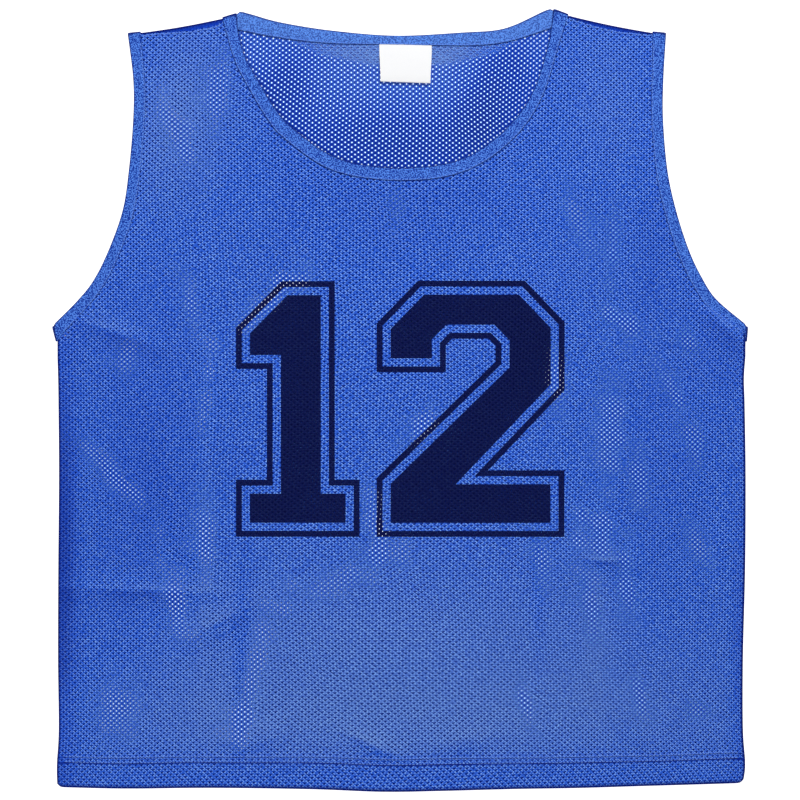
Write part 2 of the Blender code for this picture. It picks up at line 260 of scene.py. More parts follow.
def laid(columns, rows):
    """Where a place in the cloth lies: its column of holes, and its row counted up from the hem's fold."""
    turn = columns / COLUMNS * math.tau
    share = columns / COLUMNS - COLUMN_DRIFT[0] * np.sin(turn) + COLUMN_DRIFT[1] * (1 - np.cos(turn))
    up = rows * ROW_PITCH
    y = SIDE_SEAMS[0][0] - np.interp(share, hem_shares, hem_drops) * np.exp(-up / HEM_DROP_REACH) + up
    left = np.interp(y, side_heights, side_left)
    right = np.interp(y, side_heights, side_right)
    x = left + (right - left) * share
    from_side = np.minimum(x - left, right - x)
    y = y + CORNER_ROUND * np.exp(-from_side / CORNER_REACH[0] - up / CORNER_REACH[1])
    free = np.sin(np.pi * np.clip(share, 0, 1))
    x = x + free * (KNIT_SWAY[0] * np.sin(y / 49 + 0.6) + KNIT_SWAY[1] * np.sin(y / 16 + x / 33))
    rise = KNIT_RISE[0] * np.sin(x / 67 + 1.9) + KNIT_RISE[1] * np.sin(x / 18 + y / 41)
    return x, y + rise * (1 - np.exp(-np.clip(up, 0, None) / KNIT_RISE_REACH))


side_curve = smooth_rows(SIDE_SEAMS, 120)
side_heights, side_left, side_right = side_curve.T
hem_shares, hem_drops = smooth_rows(HEM_DROPS, 200).T
armhole_left = armhole_rows(1, 1)
armhole_right = armhole_rows(2, -1)
back_neck = tucked(smooth_rows(BACK_NECK, 90))


def soft_spots(x, y, spots):
    """The sum of long soft spots: centre x and y, angle, half length, half width and strength."""
    total = np.zeros(np.shape(x))
    for centre_x, centre_y, angle, half_length, half_width, strength in spots:
        cosine, sine = math.cos(math.radians(angle)), math.sin(math.radians(angle))
        along = ((x - centre_x) * cosine + (y - centre_y) * sine) / half_length
        across = ((y - centre_y) * cosine - (x - centre_x) * sine) / half_width
        total += strength * np.exp(-(along**2) - across**2)
    return total


def smooth_step(t):
    t = np.clip(t, 0, 1)
    return t * t * (3 - 2 * t)


def back_shift(x, y):
    """The back's knit lies as it was cut."""
    return 0.0, 0.0


def back_height(x, y):
    return BACK_HEIGHT + BACK_RIPPLE * np.sin(x / 23) * np.sin(y / 31)


def back_opening(x, y):
    """Share of its full size that each hole keeps: less where the knit is pressed shut below the neck."""
    along = np.argsort(back_neck[:, 2])
    seam = np.interp(x, back_neck[along, 2], back_neck[along, 3])
    depth = np.interp(x, *np.array(PRESSED_SHUT).T)
    return SHUT_SIZE + (BACK_SIZE - SHUT_SIZE) * smooth_step((seam - y - depth) / SHUT_OVER + 0.5)


def back_shades(x, y):
    """How open the holes look, and how pale the cloth is at each point of the back: painted light and
    shade, and paler where the holes are pressed shut.
    """
    opening = back_opening(x, y)
    tone = soft_spots(x, y, BACK_LIGHT_AND_SHADE) + (BACK_SIZE - opening) * SHUT_PALER
    return np.stack([0.2 + 0.7 * opening, tone], axis=1)


def net(name, outline, shift, height, opening, shades, finish):
    """A panel of mesh: four points round each hole, and three small faces between it and its neighbours."""
    column, row = np.meshgrid(np.arange(-2, COLUMNS + 2), np.arange(-1, ROWS), indexing="ij")
    odd = column % 2
    middle = np.stack([column + 0.5, row + 0.5 * odd], axis=-1)
    wide = HOLE_WIDTH / COLUMN_PITCH / 2
    tall = HOLE_HEIGHT / ROW_PITCH / 2
    round_hole = np.array([(0, tall), (wide, 0), (0, -tall), (-wide, 0)])
    kept_open = opening(*laid(middle[..., 0], middle[..., 1]))[..., None, None]
    places = (middle[:, :, None] + round_hole * kept_open).reshape(-1, 2)
    np.clip(places[:, 0], 0, COLUMNS, out=places[:, 0])
    np.clip(places[:, 1], 0, ROWS, out=places[:, 1])

    def corner(columns_on, rows_on, which):
        """Numbers of the points at the top, right, bottom or left of holes beside each hole."""
        across = column + columns_on + 2
        along = row + rows_on + 1
        return (across * row.shape[1] + along) * 4 + which

    top, right, bottom, left = range(4)
    beside = odd  # the neighbour up and to a side is in the next row when this column is odd
    faces = np.stack(
        [
            (corner(0, 0, top), corner(0, 0, right), corner(1, beside, bottom), corner(1, beside, left)),
            (corner(0, 0, left), corner(0, 0, top), corner(-1, beside, right), corner(-1, beside, bottom)),
            (corner(0, 0, top), corner(1, beside, left), corner(0, 1, bottom), corner(-1, beside, right)),
            (corner(0, 0, top), corner(0, 0, left), corner(0, 0, bottom), corner(0, 0, right)),
        ]
    )
    faces = np.moveaxis(faces, 1, -1)
    near_edge = (column < 1) | (column > COLUMNS - 2) | (row < 1)
    kept = np.zeros(faces.shape[:3], bool)
    kept[:, 1:-1, :-1] = True
    kept[3] &= near_edge
    faces = faces[kept]

    x, y = laid(*places.T)
    moved_x, moved_y = shift(x, y)
    x, y = x + moved_x, y + moved_y
    ax, ay = x[faces], y[faces]
    size = (ax * np.roll(ay, -1, axis=1) - ay * np.roll(ax, -1, axis=1)).sum(axis=1) / 2
    faces = faces[(size > SMALLEST_FACE) & inside(ax.mean(axis=1), ay.mean(axis=1), outline)]
    used, faces = np.unique(faces, return_inverse=True)
    x, y = x[used], y[used]
    points = np.stack([x, y, height(x, y)], axis=1)
    maps = {"knit": places[used], "shade": shades(x, y)}
    return made(name, points, faces.reshape(-1, 4), maps, finish)


def made(name, points, faces, maps, finish):
    """A piece from points in millimetres, with maps that tell the finish what is at each point."""
    mesh = bpy.data.meshes.new(name)
    mesh.from_pydata((points * MM).tolist(), [], faces.tolist())
    corners = np.empty(len(mesh.loops), np.int32)
    mesh.loops.foreach_get("vertex_index", corners)
    for map_name, values in maps.items():
        layer = mesh.uv_layers.new(name=map_name)
        layer.uv.foreach_set("vector", values[corners].astype(np.float32).ravel())
    mesh.shade_smooth()
    mesh.materials.append(finish.material)
    obj = bpy.data.objects.new(name, mesh)
    bpy.context.scene.collection.objects.link(obj)
    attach(obj, "root")
    return obj


CLOTH_SHEEN = {
    "Roughness": 0.7,
    "Specular IOR Level": 0.06,
    "Sheen Weight": 0.02,
    "Sheen Tint": (0.3, 0.5, 1.0, 1.0),
}


class Reading:
    """A socket's value in a finish; sums on it add Math nodes."""

    def __init__(self, finish, socket):
        self.finish = finish
        self.socket = socket

    def output(self, number):
        return Reading(self.finish, self.socket.node.outputs[number])

    def math(self, operation, *terms):
        return self.finish.node("ShaderNodeMath", {"operation": operation}, dict(enumerate((self, *terms))))

    def __add__(self, other):
        return self.math("ADD", other)

    def __sub__(self, other):
        return self.math("SUBTRACT", other)

    def __rsub__(self, other):
        return self.finish.node("ShaderNodeMath", {"operation": "SUBTRACT"}, {0: other, 1: self})

    def __mul__(self, other):
        return self.math("MULTIPLY", other)

    __radd__ = __add__
    __rmul__ = __mul__


class Finish:
    """A finish with a Principled shader and the nodes that feed it."""

    def __init__(self, name, constants):
        self.material = bpy.data.materials.new(name)
        self.material.use_nodes = True
        self.shader = self.material.node_tree.nodes["Principled BSDF"]
        self.plug(self.shader, constants)

    def plug(self, made_node, sockets):
        for socket, value in sockets.items():
            if isinstance(value, Reading):
                self.material.node_tree.links.new(value.socket, made_node.inputs[socket])
            else:
                made_node.inputs[socket].default_value = value

    def node(self, kind, settings, sockets, output=0):
        made_node = self.material.node_tree.nodes.new(kind)
        for setting, value in settings.items():
            setattr(made_node, setting, value)
        self.plug(made_node, sockets)
        return Reading(self, made_node.outputs[output])

    def mixed(self, share, first, second):
        """A colour this share of the way from the first to the second."""
        return self.node("ShaderNodeMix", {"data_type": "RGBA"}, {0: share, 6: first, 7: second}, 2)

    def mapped(self, name):
        """Both readings of one of a piece's maps."""
        place = self.node("ShaderNodeUVMap", {"uv_map": name}, {})
        first = self.node("ShaderNodeSeparateXYZ", {}, {0: place})
        return first, first.output(1)

    def noise(self, scale, detail):
        place = self.node("ShaderNodeTexCoord", {}, {}, 3)
        return self.node("ShaderNodeTexNoise", {}, {"Vector": place, "Scale": scale, "Detail": detail})

    def step(self, value, low, high):
        """0 below the low value, 1 above the high one and smooth between."""
        settings = {"interpolation_type": "SMOOTHSTEP"}
        sockets = {"Value": value, "From Min": low, "From Max": high}
        return self.node("ShaderNodeMapRange", settings, sockets)


def knit_finish(name, hole_shade, plain, light, hole_shade_strength=1.0):
    """Knitted mesh: painted highlights on the loops between the holes, painted shade round the holes, and
    deeper painted shade at the folded edges.
    """
    finish = Finish(name, CLOTH_SHEEN)
    columns, rows = finish.mapped("knit")
    opened, tone = finish.mapped("shade")
    opened = finish.step(opened, 0.25, 1.0)
    hole = (columns * math.pi - math.pi / 2).math("COSINE") * (rows * math.tau).math("COSINE")
    loops = (columns * math.pi + math.pi * 0.62).math("COSINE") * (rows * math.tau - 0.7).math("COSINE")
    courses = (rows * (math.tau * 2) + 1.2).math("COSINE")
    wales = (columns * math.tau - 0.6).math("COSINE")
    crossings = (rows * (math.tau * 2) + 0.4).math("COSINE") * (columns * math.tau + 0.9).math("COSINE")
    uneven = finish.noise(950.0, 2.0) - 0.5
    coarse = finish.noise(420.0, 1.0) - 0.5
    # Painted highlights on the raised loops between the holes.
    loop_highlight = loops * 0.6 + crossings * 0.6 + courses * 0.45 + wales * 0.3 + uneven * 3.0 + coarse * 1.2
    colour = finish.mixed(finish.step(loop_highlight, 0.35, 0.95) * 0.93, plain, light)
    # Painted light and shade from the tone map: paler where it is above nought, stronger where it is below.
    paler = tone.math("MAXIMUM", 0.0)
    stronger = (0.0 - tone).math("MAXIMUM", 0.0)
    colour = finish.mixed(paler * 0.22, colour, CLOTH_PALE)
    colour = finish.mixed(stronger * 0.3 + opened * 0.65, colour, CLOTH_STRONG)
    # Painted shade round each hole, where the cloth behind it lies in shade.
    sunk = hole * 0.9 - courses * 0.3 - crossings * 0.3 + uneven * 2.0 + coarse * 1.1
    dark = finish.step(sunk, 0.22, 0.66) * hole_shade_strength
    colour = finish.mixed(dark * (1.0 - opened), colour, hole_shade)
    # Deeper painted shade where the tone is strongest.
    colour = finish.mixed((stronger - 1.0).math("MAXIMUM", 0.0) * 0.25, colour, EDGE_SHADE_NAVY)
    between = finish.step(0.0 - hole + uneven, 0.3, 0.9) * opened
    colour = finish.mixed(between * 0.92, colour, hole_shade)
    # Painted light: the yarn at an open hole's edge, lit from below.
    rim_light = finish.step(hole, 0.15, 0.65) * opened
    colour = finish.mixed(rim_light * 0.93, colour, CLOTH_RIM_LIGHT)
    # Painted shade along the side seams and at the hem's fold.
    from_side = finish.step(columns, 0.0, 0.8) * finish.step(COLUMNS - columns, 0.0, 1.2)
    from_edge = from_side * finish.step(rows, 0.05, 0.8)
    colour = finish.mixed(from_edge, EDGE_SHADE_NAVY, colour)
    height = 1.0 - finish.step(hole, -0.2, 0.9) + loops * 0.3
    relief = finish.node("ShaderNodeBump", {}, {"Height": height, "Distance": 0.35 * MM, "Strength": 0.8})
    finish.plug(finish.shader, {"Base Color": colour, "Normal": relief})
    finish.colour = colour
    return finish


back_cloth = knit_finish("back_cloth", CLOTH_SHADE, CLOTH_BLUE, CLOTH_HIGHLIGHT)
back_outline = panel_outline(back_neck)
back_net = net("back_net", back_outline, back_shift, back_height, back_opening, back_shades, back_cloth)
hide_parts("back_panel")

# Front panel
# The front is a second piece of the same mesh, with a deeper neck. It lies on the back with shallow
# folds, and where its holes meet the back's holes the surface shows through in small bright patches.
# A block number is screen printed on the chest: navy figures, a bare gap and a navy outline.

FRONT_BASE = 1.8  # height of the front cloth's middle
FRONT_RIPPLE = 0.12
FRONT_LIFT = 0.6  # rise at the bindings and the hem
LIFT_REACH = 28.0
HEM_DEPTH = 26.0
HEM_STITCH_ROWS = (21.0, 25.4)  # heights of the two lines of hem stitches above the fold
HEM_GROOVE = 1.5  # how far below its stitches each line's painted groove shade lies
HEM_GROOVE_SHADE = (1.3, 0.8)  # how dark and how wide each line's painted groove shade is
KNIT_SLIP = (1.22, 1.0)  # how far the front's holes stand from the back's where none meet
SLIP_VARIES = 0.16
SLIP_REACH = 14  # how far in from a side seam or the hem's fold that grows from nothing
FRONT_SIZE = 1.02  # size of the front's holes against the full size
FRONT_SIZE_VARIES = 0.14
MET_SIZE_LESS = 0.1  # how much smaller they are where they meet the back's

# Front neck, in the columns of the back neck
FRONT_NECK = [
    (-132.5, 313.5, -144.0, 310.0),
    (-131.0, 299.5, -140.5, 296.0),
    (-126.5, 281.5, -135.0, 277.5),
    (-119.5, 267.0, -128.0, 262.0),
    (-99.5, 234.0, -107.5, 227.0),
    (-84.5, 218.5, -92.0, 210.0),
    (-53.0, 197.0, -58.0, 187.0),
    (-14.5, 188.5, -16.0, 178.0),
    (29.5, 190.0, 32.0, 179.5),
    (61.0, 200.5, 66.5, 191.5),
    (89.5, 223.5, 97.0, 216.5),
    (108.5, 251.5, 116.0, 247.0),
    (120.0, 288.5, 128.5, 286.5),
    (124.5, 317.0, 136.5, 312.5),
]

# Folds and creases: centre x and y, angle in degrees, half length, half width, height
FOLDS = [
    (-206, -155, -2, 60, 9.0, 1.3),
    (-206, -154, -2, 56, 2.6, 0.5),
    (-146, -180, 27, 32, 11.0, 1.4),
    (-146, -179, 27, 30, 3.0, 0.4),
    (165, -130, -2, 20, 9.0, 0.9),
    (165, -130, -2, 15, 2.2, 0.9),
    (-228, 54, -18, 34, 10.0, 1.8),
    (-229, 54, -18, 30, 3.0, 0.5),
    (266, 56, -42, 26, 9.0, 1.6),
    (262, 60, -42, 20, 3.0, 0.5),
    (-182, 212, 78, 62, 22.0, 1.6),
    (168, 205, 96, 66, 24.0, 1.5),
    (-18, -281, -22, 26, 9.0, 1.3),
    (-24, -279, -26, 22, 3.2, 0.5),
    (52, -277, 14, 24, 9.0, 1.0),
    (-118, -274, 8, 30, 10.0, 0.8),
    (190, -262, -64, 30, 13.0, 1.0),
    (-236, -236, 58, 34, 16.0, 1.0),
    (226, -70, 82, 60, 16.0, 1.1),
    (-196, -34, -74, 56, 16.0, 1.2),
    (0, -205, 4, 110, 30.0, 1.2),
    (96, 60, 38, 70, 24.0, 0.8),
]

# Patches where the two knits meet hole on hole: centre x and y, angle, half length, half width and
# how nearly the holes meet
SEE_THROUGH = [
    (-149, 251, 85, 26, 11, 0.9),
    (-182, 218, -65, 31, 8, 0.85),
    (-170, 81, -75, 31, 7, 0.7),
    (-222, 34, 0, 13, 13, 0.75),
    (-234, -59, -46, 36, 8, 0.85),
    (-159, -9, 80, 18, 7, 0.65),
    (-159, -110, 90, 28, 8, 0.9),
    (-182, -166, -75, 31, 8, 0.9),
    (-228, -251, 90, 22, 17, 0.8),
    (-117, -219, 75, 52, 8, 0.75),
    (-133, -261, 0, 13, 10, 0.5),
    (-50, -147, 25, 32, 11, 0.7),
    (-23, -90, 90, 26, 8, 0.75),
    (-3, -121, -30, 14, 7, 0.6),
    (17, -21, 45, 17, 10, 0.85),
    (-4, 157, 90, 17, 9, 0.6),
    (-112, 74, 44, 32, 8, 0.8),
    (-80, 98, 0, 22, 7, 0.5),
    (126, 18, 90, 26, 8, 0.95),
    (144, 144, -70, 27, 8, 0.8),
    (172, 133, 90, 25, 7, 0.75),
    (183, 62, -35, 17, 8, 0.8),
    (234, 48, -60, 12, 7, 0.85),
    (168, -21, 85, 40, 9, 0.95),
    (217, 14, -60, 14, 7, 0.8),
    (237, -33, -75, 18, 8, 1.0),
    (194, -65, -80, 25, 8, 0.9),
    (162, -107, -45, 15, 10, 0.8),
    (154, -166, -80, 36, 8, 0.85),
    (184, -154, -80, 22, 7, 0.9),
    (241, -118, -70, 20, 8, 0.85),
    (195, -243, -75, 18, 6, 0.9),
    (241, -252, 0, 9, 8, 0.85),
    (114, -130, -75, 24, 8, 0.8),
    (102, -247, -70, 20, 6, 0.85),
]
SEE_THROUGH_SPREAD = 1.5  # how many times those half sizes a patch spreads while it fades
SPREAD_VARIES = 0.3
MOST_MET = 0.86  # how nearly the holes meet at the most
# Painted light and shade from the folds' slopes.
FOLD_SHADE = 2.2  # how much a fold's slope changes the tone

# Painted light and shade, where the front looks paler or stronger: centre x and y, angle, half length, half
# width, strength
FRONT_LIGHT_AND_SHADE = [
    (0, -205, 0, 210, 78, 0.9),
    (-178, 226, 80, 70, 34, 1.0),
    (165, 245, 85, 70, 30, 0.3),
    (0, 150, 0, 100, 34, -0.4),
    (-205, -55, 88, 120, 48, -0.9),
    (210, -50, 88, 150, 34, -0.45),
    (262, 40, 90, 70, 22, -0.5),
    (-238, -200, 88, 70, 30, -0.4),
    (-274, -140, 90, 200, 13, -2.1),
    (274, -200, 90, 120, 6, -1.0),
    (0, -303, 0, 300, 13, -0.6),
    (0, -258, 0, 290, 44, 0.8),
    (-157, -90, 90, 140, 7, 0.5),
    (-129, -205, 88, 80, 6, -0.8),
    (112, -160, 90, 60, 6, -0.5),
    (158, -190, 88, 55, 11, 0.5),
    (-92, 160, 84, 60, 12, -0.3),
    (205, 120, 78, 60, 14, -0.5),
]

PRINT_INK = (0.0008, 0.0016, 0.048, 1.0)
PRINT_SPREAD = 0.3  # how far the ink runs past the drawn figure
PRINT_GAP = 6.5  # bare cloth between a figure and its outline
PRINT_LINE = 4.8  # width of the outline

# Straight-sided parts that make up the printed figures, each as its corners
FIGURE_ONE = [
    [(-96.2, -99.1), (-64.4, -99.1), (-64.4, 60.0), (-96.2, 60.0)],
    [(-121.2, 36.7), (-64.4, 36.7), (-64.4, 84.6), (-91.0, 84.6), (-121.2, 53.8)],
    [(-121.2, -99.1), (-44.3, -99.1), (-44.3, -76.1), (-121.2, -76.1)],
]
FIGURE_TWO = [
    [(-7.3, 34.0), (25.5, 34.0), (25.5, 50.0), (-7.3, 50.0)],
    [(-7.3, 49.0), (25.5, 49.0), (37.3, 61.2), (37.3, 85.0), (19.6, 85.0), (-7.3, 57.3)],
    [(30.0, 61.2), (88.0, 61.2), (88.0, 85.0), (30.0, 85.0)],
    [(76.5, 61.2), (88.9, 48.4), (121.7, 48.4), (121.7, 58.3), (96.1, 85.0), (76.5, 85.0)],
    [(88.9, 20.0), (121.7, 20.0), (121.7, 50.0), (88.9, 50.0)],
    [(-7.3, -99.2), (15.2, -99.2), (121.7, 12.8), (121.7, 50.0), (113.2, 50.0), (-7.3, -68.0)],
    [(0.0, -99.2), (121.5, -99.2), (121.5, -68.5), (0.0, -68.5)],
]

front_neck = tucked(smooth_rows(FRONT_NECK, 120))


def nearest(x, y, line):
    """Distance from each point to a line of points."""
    best = np.full(np.shape(x), np.inf)
    for (ax, ay), (bx, by) in zip(line, line[1:]):
        size = (bx - ax) ** 2 + (by - ay) ** 2
        share = np.clip(((x - ax) * (bx - ax) + (y - ay) * (by - ay)) / size, 0, 1)
        best = np.minimum(best, np.hypot(x - ax - share * (bx - ax), y - ay - share * (by - ay)))
    return best


def front_height(x, y):
    seams = [rows[::3, 2:] for rows in (armhole_left, armhole_right, front_neck)]
    near = np.minimum.reduce([nearest(x, y, seam) for seam in seams])
    lift = 1 - smooth_step(near / LIFT_REACH)
    above_hem = y - SIDE_SEAMS[0][0] - HEM_DEPTH
    lift = np.maximum(lift, 1 - smooth_step(above_hem / LIFT_REACH))
    height = FRONT_BASE + FRONT_LIFT * lift + soft_spots(x, y, FOLDS)
    return height + FRONT_RIPPLE * np.sin(x / 13 + y / 29) * np.sin(y / 17)


def holes_met(x, y):
    """How nearly the front's holes meet the back's: 0 where they stand apart."""
    varied = 1 + SPREAD_VARIES * np.sin(x / 5.3 + y / 9.1) * np.sin(y / 6.7 - x / 11)
    spread = SEE_THROUGH_SPREAD * varied
    spots = [(*place, length * spread, width * spread, met) for *place, length, width, met in SEE_THROUGH]
    return np.clip(soft_spots(x, y, spots), 0, MOST_MET)


def front_shades(x, y):
    """Where the holes meet, and the painted light and shade: a fold's upper side is painted paler and its
    lower side painted in shade.
    """
    facing_up = soft_spots(x, y - 1, FOLDS) - soft_spots(x, y + 1, FOLDS)
    return np.stack([holes_met(x, y), soft_spots(x, y, FRONT_LIGHT_AND_SHADE) + facing_up * FOLD_SHADE], axis=1)


def front_opening(x, y):
    """The front's holes differ a little in size."""
    differ = FRONT_SIZE_VARIES * np.sin(x / 7.3 + y / 11.9) * np.sin(y / 5.1 - x / 14.7)
    return FRONT_SIZE - MET_SIZE_LESS * holes_met(x, y) + differ


def front_shift(x, y):
    """The front's knit stands between the back's holes, and meets them at the see-through patches."""
    apart = 1 - holes_met(x, y)
    from_left = x - np.interp(y, side_heights, side_left)
    from_right = np.interp(y, side_heights, side_right) - x
    from_side = np.minimum(from_left, from_right)
    from_hem = y - SIDE_SEAMS[0][0]
    apart = apart * smooth_step(from_side / SLIP_REACH) * smooth_step(from_hem / SLIP_REACH)
    drift = 1 + SLIP_VARIES * np.sin(x / 19 + y / 47) * np.sin(y / 23)
    return KNIT_SLIP[0] * apart * drift, KNIT_SLIP[1] * apart * drift


def distance_to_part(place, corners):
    """Distance out of a straight-sided part, along its nearest side's square: negative inside."""
    distance = None
    for (ax, ay), (bx, by) in zip(corners, corners[1:] + corners[:1]):
        size = math.hypot(bx - ax, by - ay)
        square = ((by - ay) / size, (ax - bx) / size, 0.0)
        sockets = {0: place, 1: square}
        across = place.finish.node("ShaderNodeVectorMath", {"operation": "DOT_PRODUCT"}, sockets, 1)
        side = across - (square[0] * ax + square[1] * ay)
        distance = side if distance is None else distance.math("MAXIMUM", side)
    return distance


def printed(finish, figures):
    """1 on the ink of the printed figures and their outlines, and 0 on bare cloth."""
    place = finish.node("ShaderNodeTexCoord", {}, {}, 3)
    place = finish.node("ShaderNodeVectorMath", {"operation": "SCALE"}, {0: place, "Scale": 1 / MM})
    distance = None
    for corners in figures:
        part = distance_to_part(place, corners)
        distance = part if distance is None else distance.math("MINIMUM", part)
    outline = (distance - (PRINT_SPREAD + PRINT_GAP + PRINT_LINE / 2)).math("ABSOLUTE")
    return distance.math("LESS_THAN", PRINT_SPREAD) + outline.math("LESS_THAN", PRINT_LINE / 2)


front_cloth = knit_finish("front_cloth", CLOTH_SHADE, CLOTH_BLUE, CLOTH_HIGHLIGHT)
ink = printed(front_cloth, FIGURE_ONE + FIGURE_TWO)
worn_ink = ink * (1.02 - front_cloth.noise(900.0, 2.0) * 0.11).math("MINIMUM", 1.0)
columns, rows = front_cloth.mapped("knit")
# Painted shade in the grooves just below the hem's lines of stitches.
above_fold = rows * ROW_PITCH
groove_shade = 0.0
for height_up, groove_strength in zip(HEM_STITCH_ROWS, HEM_GROOVE_SHADE):
    from_line = (above_fold - (height_up - HEM_GROOVE)).math("ABSOLUTE")
    groove_shade = groove_shade + (1.0 - front_cloth.step(from_line, 0.2, 0.9 * groove_strength)) * groove_strength
groove_shade = groove_shade * (0.25 + front_cloth.noise(90.0, 2.0))
groove_shaded_colour = front_cloth.mixed(groove_shade, front_cloth.colour, CLOTH_SHADE)
front_cloth.plug(front_cloth.shader, {"Base Color": front_cloth.mixed(worn_ink, groove_shaded_colour, PRINT_INK)})
front_outline = panel_outline(front_neck)
front_net = net(
    "front_net", front_outline, front_shift, front_height, front_opening, front_shades, front_cloth
)
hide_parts("front_panel")

# Hems
# Each panel's lower edge is turned up inside by 26 mm and sewn with two lines of stitches. The turned
# layer shows only as darker holes, its cloth painted in shade, and the fold makes a firm rounded edge.

STITCH_LENGTH = 2.3
STITCH_PITCH = 2.9
STITCH_RADIUS = 0.42
STITCH_SIDES = 6  # the ends of a stitch are closed by two faces of four corners each
HEM_STITCH_OUT = 0.3  # how far the hem's stitches stand out from the cloth's middle
THREAD_BLUE = (0.230, 0.440, 1.00, 1.0)
HEM_SHADE = (0.020, 0.070, 0.46, 1.0)

# The turned layer: height above the fold, and depth behind the panel
HEM_TURN = [
    (0.0, 0.0),
    (-0.25, 0.14),
    (-0.32, 0.34),
    (-0.05, 0.54),
    (2.0, 0.62),
    (8.0, 0.62),
    (14.0, 0.62),
    (25.8, 0.60),
    (26.5, 0.48),
    (25.9, 0.36),
    (23.5, 0.34),
]


def strip(name, sections, places, finish, closed=False):
    """A strip of cloth through sections of equal point counts, in a ring if closed."""
    count, size = sections.shape[:2]
    number = np.arange(count * size).reshape(count, size)
    if closed:
        number = np.vstack([number, number[:1]])
    faces = np.stack([number[:-1, :-1], number[1:, :-1], number[1:, 1:], number[:-1, 1:]], axis=-1)
    maps = {"knit": places.reshape(-1, 2)}
    return made(name, sections.reshape(-1, 3), faces.reshape(-1, 4), maps, finish)


def stitches(name, line, up, finish):
    """A line of stitches: short threads that rise from the cloth and dip back into it."""
    reached = np.concatenate([[0], np.cumsum(np.linalg.norm(np.diff(line, axis=0), axis=1))])
    starts = np.arange(STITCH_PITCH / 2, reached[-1] - STITCH_PITCH, STITCH_PITCH)
    shares = np.array([0.0, 0.12, 0.5, 0.88, 1.0])
    rises = np.array([-0.9, 0.1, 0.55, 0.1, -0.9]) * STITCH_RADIUS
    widths = np.array([0.45, 0.85, 1.0, 0.85, 0.45]) * STITCH_RADIUS
    at = starts[:, None] + shares * STITCH_LENGTH
    spine = np.stack([np.interp(at, reached, column) for column in line.T], axis=-1)
    run = spine[:, -1:] - spine[:, :1]
    run = run / np.linalg.norm(run, axis=-1, keepdims=True)
    aside = np.cross(np.broadcast_to(up, run.shape), run)
    spine = spine + rises[:, None] * np.array(up)
    turns = np.arange(STITCH_SIDES) * math.tau / STITCH_SIDES
    rings = (
        spine[:, :, None]
        + (widths[:, None] * np.cos(turns))[..., None] * aside[:, :, None]
        + (widths[:, None] * np.sin(turns))[..., None] * np.array(up)
    )
    number = np.arange(rings.size // 3).reshape(rings.shape[:3])
    ahead = np.roll(number, -1, axis=2)
    sides = np.stack([number[:, :-1], ahead[:, :-1], ahead[:, 1:], number[:, 1:]], axis=-1).reshape(-1, 4)
    caps = np.vstack([number[:, 0, [0, 5, 4, 3]], number[:, 0, [0, 3, 2, 1]]])
    caps = np.vstack([caps, number[:, -1, [0, 1, 2, 3]], number[:, -1, [0, 3, 4, 5]]])
    points = rings.reshape(-1, 3)
    places = np.repeat(np.arange(len(starts) * len(shares)), STITCH_SIDES)[:, None] * np.array([0.1, 0.0])
    return made(name, points, np.vstack([sides, caps]), {"knit": places}, finish)


thread = Finish("sewing_thread", {"Roughness": 0.5, "Specular IOR Level": 0.4})
twist = thread.noise(2600.0, 1.0)
thread.plug(thread.shader, {"Base Color": thread.mixed(twist, CLOTH_BLUE, THREAD_BLUE)})
# The turned layer is painted in shade, as it lies behind the panel.
hem_inside = knit_finish("hem_inside_cloth", CLOTH_SHADE, HEM_SHADE, CLOTH_BLUE, 0.7)

hem_columns = np.arange(0, COLUMNS + 1, 1.0)
sewn_columns = hem_columns[2:-2]
for panel, height, inward in (("back", back_height, 1), ("front", front_height, -1)):
    turn_up, turn_depth = np.array(HEM_TURN).T
    column, up = np.meshgrid(hem_columns, turn_up, indexing="ij")
    x, y = laid(column, up / ROW_PITCH)
    z = height(x, y) + inward * turn_depth
    places = np.stack([column, 1 + np.abs(up) / ROW_PITCH], axis=-1)
    turned = strip(f"{panel}_hem_turn", np.stack([x, y, z], axis=-1), places, hem_inside)
    for number, up in enumerate(HEM_STITCH_ROWS, 1):
        x, y = laid(sewn_columns, np.full(len(sewn_columns), up / ROW_PITCH))
        z = height(x, y) - inward * HEM_STITCH_OUT
        line = np.stack([x, y, z], axis=1)
        stitches(f"{panel}_hem_stitches_{number}", line, (0, 0, -inward), thread)

# Side seams
# The panels are joined face to face and turned, so each side ends in a soft round edge. The seam
# allowances lie inside, behind the front and on the back, and close the holes along the edge.

# painted shade on the side seams' round edge and on the allowances between the layers
SEAM_EDGE_SHADE = (0.006, 0.022, 0.230, 1.0)
SEAM_ROWS = np.arange(0, 93.5, 0.5)  # from the hem's fold to the armpit, in rows of holes

# Across the seam: distance inwards from the edge, share of the way from back to front, further rise
SIDE_FOLD = [
    (12.5, 1.0, -0.46),
    (6.0, 1.0, -0.42),
    (1.2, 1.0, -0.30),
    (0.05, 1.0, -0.03),
    (-0.38, 0.85, 0.0),
    (-0.52, 0.5, 0.0),
    (-0.38, 0.15, 0.0),
    (0.05, 0.0, 0.03),
    (1.2, 0.0, 0.30),
    (6.0, 0.0, 0.42),
    (12.5, 0.0, 0.46),
]

